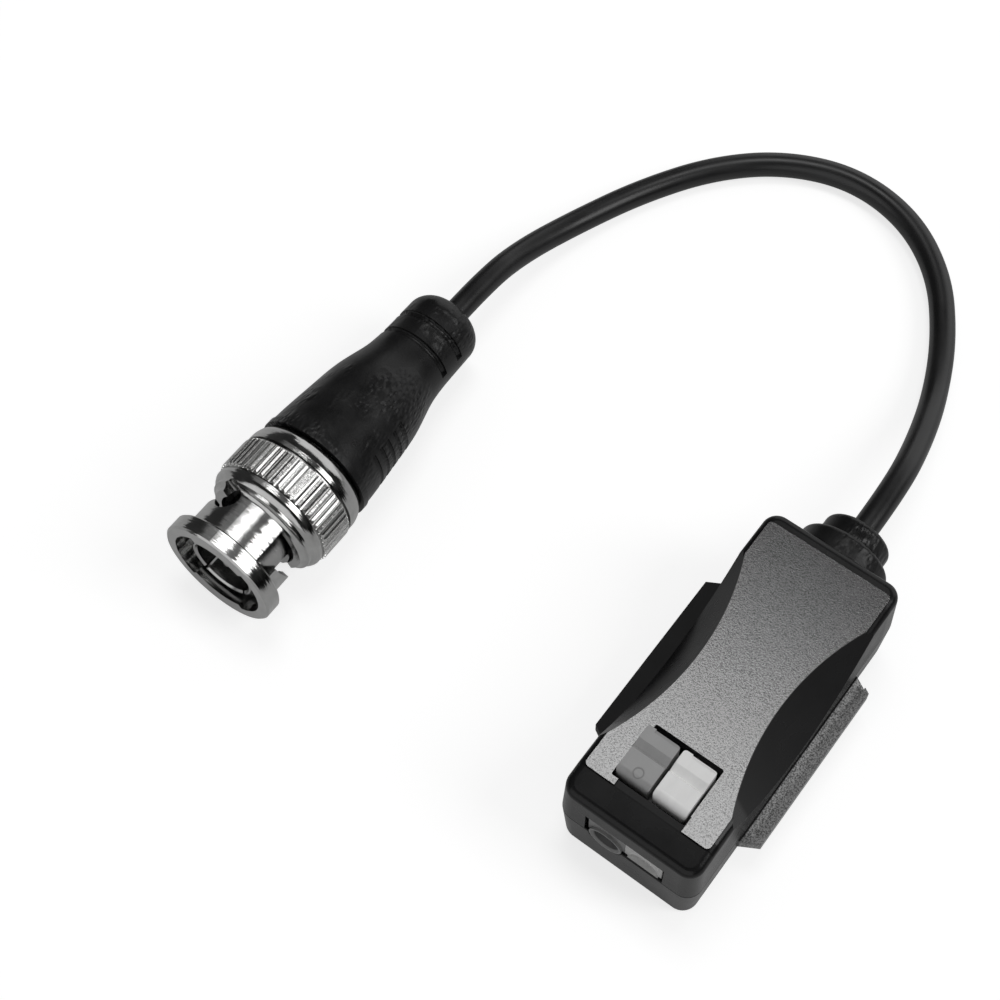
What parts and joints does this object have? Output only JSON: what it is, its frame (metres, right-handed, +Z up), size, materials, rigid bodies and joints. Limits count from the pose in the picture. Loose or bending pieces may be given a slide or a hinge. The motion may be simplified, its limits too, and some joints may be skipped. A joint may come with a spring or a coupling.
{
  "type": "cctv video balun",
  "caption": "Passive video balun: flat two-shell housing with push-button wire terminals and side clip rails, and a short lead ending in a moulded bayonet coaxial plug",
  "frame": {"origin": "middle of the housing's underside, on the surface that it rests on", "axes": "+Z up; +Y along the housing towards the lead; +X across it towards the rail with the upward lip; the wire entries and the plug's mouth face -Y"},
  "size_m": [0.068, 0.0874, 0.0148],
  "materials": {
    "shell_plastic": "black moulded plastic, fine spark-eroded grain on the pad, smooth elsewhere",
    "grey_plastic": "mid grey moulded plastic, semi-gloss",
    "light_plastic": "light moulded plastic, semi-gloss",
    "moulded_rubber": "black soft moulding with flow marks",
    "cord_jacket": "smooth black jacket, satin",
    "nickel_plate": "bright nickel plate",
    "contact_brass": "plated brass",
    "spring_steel": "stainless spring strip",
    "board_laminate": "glass-fibre laminate",
    "ferrite": "dull dark ceramic",
    "enamelled_wire": "enamelled copper",
    "insulator_plastic": "white fluoropolymer",
    "gasket_rubber": "soft silicone"
  },
  "bodies": {
    "housing": {"upper_shell": "shell_plastic", "lower_shell": "shell_plastic", "terminal_grey": "grey_plastic", "terminal_light": "light_plastic", "clamp_spring_grey": "spring_steel", "clamp_spring_light": "spring_steel", "contact_grey": "contact_brass", "contact_light": "contact_brass", "circuit_board": "board_laminate", "transformer_core": "ferrite", "transformer_windings": "enamelled_wire", "surge_suppressor": "ferrite", "board_chips": "ferrite", "tail_leads": "enamelled_wire", "strain_relief": "moulded_rubber", "cord": "cord_jacket", "plug_boot": "moulded_rubber", "plug_body": "nickel_plate", "outer_contact_sleeve": "nickel_plate", "plug_insulator": "insulator_plastic", "centre_pin": "contact_brass", "crimp_ferrule": "nickel_plate", "plug_gasket": "gasket_rubber", "wave_washer": "spring_steel"},
    "lever_grey": {"button_grey": "grey_plastic"},
    "lever_light": {"button_light": "light_plastic"},
    "thrust_ring": {"thrust_washer": "nickel_plate"},
    "nut": {"coupling_nut": "nickel_plate", "back_ring": "nickel_plate"}
  },
  "joints": [
    {"name": "press_grey", "type": "hinge", "parent": "housing", "child": "lever_grey", "pos_m": [-0.00215, -0.0094, 0.0113], "axis": [1, 0, 0], "range_deg": [0, 7], "stiffness_Nm_per_rad": 0.12, "springref_deg": -1.72, "deforming": ["clamp_spring_grey"]},
    {"name": "press_light", "type": "hinge", "parent": "housing", "child": "lever_light", "pos_m": [0.00215, -0.0094, 0.0113], "axis": [1, 0, 0], "range_deg": [0, 7], "stiffness_Nm_per_rad": 0.12, "springref_deg": -1.72, "deforming": ["clamp_spring_light"]},
    {"name": "nut_pull", "type": "slide", "parent": "housing", "child": "thrust_ring", "axis": [0.0152, -0.9984, 0.0541], "range_m": [0, 0.0008], "stiffness_N_per_m": 2000, "springref_m": -0.0004, "deforming": ["wave_washer"]},
    {"name": "nut_turn", "type": "hinge", "parent": "thrust_ring", "child": "nut", "pos_m": [-0.05082, -0.01058, 0.00744], "axis": [0.0152, -0.9984, 0.0541], "continuous": true}
  ]
}
